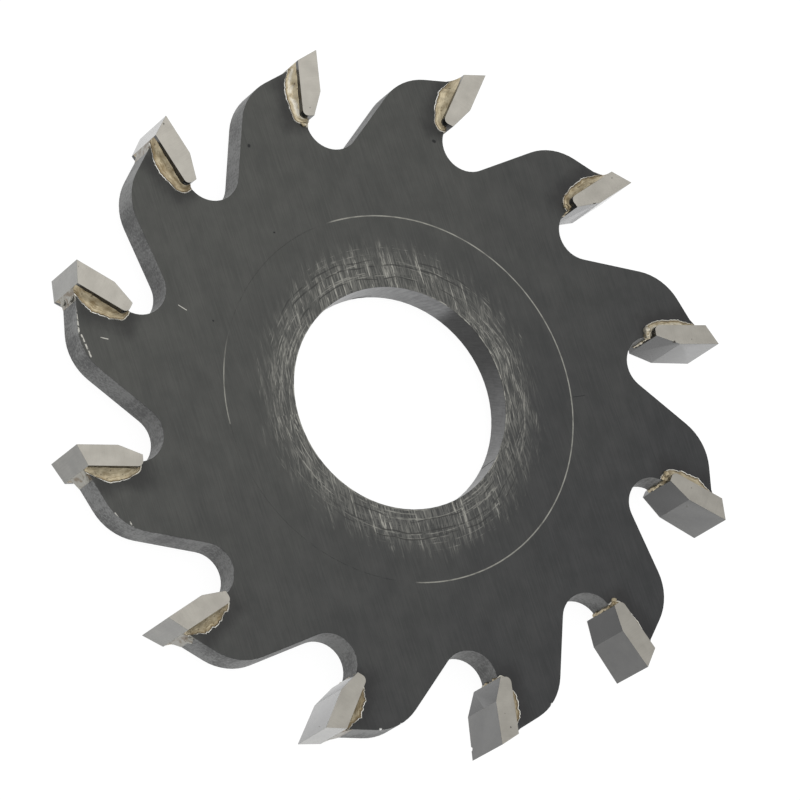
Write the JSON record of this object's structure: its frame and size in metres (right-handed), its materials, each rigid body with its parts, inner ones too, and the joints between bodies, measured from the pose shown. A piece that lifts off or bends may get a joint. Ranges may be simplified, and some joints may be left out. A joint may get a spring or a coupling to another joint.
{
  "type": "slotting saw blade",
  "caption": "Small, thick slotting saw blade: a dark steel plate with a plain round bore, deep round gullets and wide carbide tips brazed into seats in its teeth.",
  "frame": {"origin": "centre of the bore, halfway through the plate", "axes": "+Z along the bore, out of the face seen from which the blade cuts clockwise; +Y from the bore's centre through the cutting edge of tip_01; +X to the right of +Y seen from +Z"},
  "size_m": [0.063, 0.063, 0.006],
  "materials": {
    "plate_steel": "hardened steel, black oxide, finely ground, satin",
    "carbide": "sintered tungsten carbide, ground, matte grey with fine pits",
    "silver_solder": "silver solder, dull golden tan, uneven, with oxide specks"
  },
  "bodies": {
    "root": {"saw_plate": "plate_steel", "tip_01": "carbide", "tip_02": "carbide", "tip_03": "carbide", "tip_04": "carbide", "tip_05": "carbide", "tip_06": "carbide", "tip_07": "carbide", "tip_08": "carbide", "tip_09": "carbide", "tip_10": "carbide", "tip_11": "carbide", "tip_12": "carbide", "braze_01": "silver_solder", "braze_02": "silver_solder", "braze_03": "silver_solder", "braze_04": "silver_solder", "braze_05": "silver_solder", "braze_06": "silver_solder", "braze_07": "silver_solder", "braze_08": "silver_solder", "braze_09": "silver_solder", "braze_10": "silver_solder", "braze_11": "silver_solder", "braze_12": "silver_solder"}
  },
  "joints": []
}
